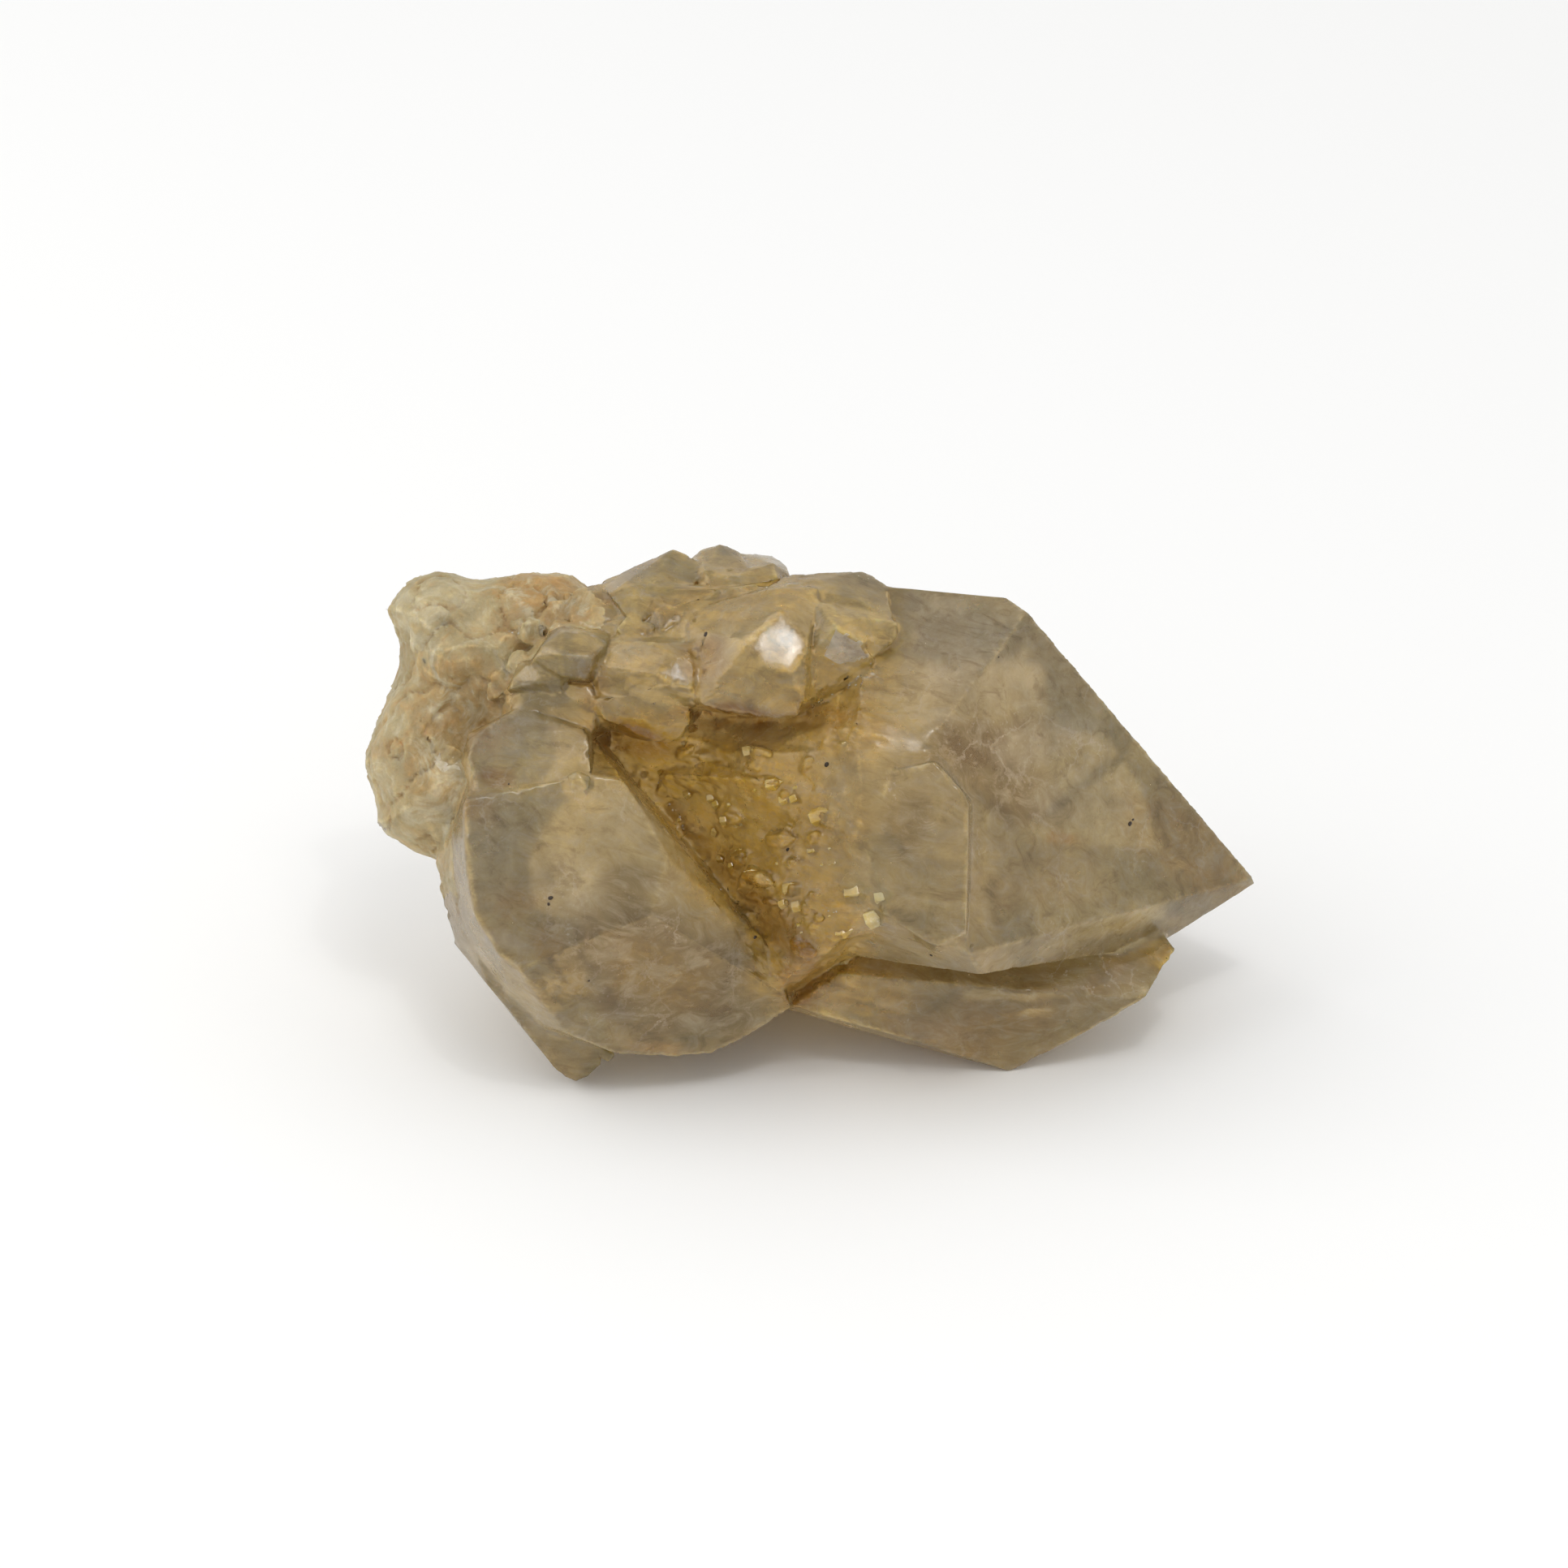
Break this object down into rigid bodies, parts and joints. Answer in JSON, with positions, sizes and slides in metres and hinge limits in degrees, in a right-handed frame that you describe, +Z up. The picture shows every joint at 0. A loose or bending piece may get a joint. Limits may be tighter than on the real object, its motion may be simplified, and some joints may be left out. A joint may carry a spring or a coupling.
{
  "type": "natural citrine crystal cluster",
  "caption": "Cluster of intergrown milky citrine quartz points with a golden hollow and a broken base, to rest on a shelf or table.",
  "frame": {"origin": "middle of the bounding box, on the plane the cluster rests on", "axes": "+Z up, +X along the length towards the tip of the great point, -Y towards the viewer of the picture"},
  "size_m": [0.0876, 0.0502, 0.0483],
  "materials": {
    "citrine": "cloudy honey-coloured quartz, glassy on the crystal faces and rough where it is broken"
  },
  "bodies": {
    "root": {"citrine_cluster": "citrine"}
  },
  "joints": []
}
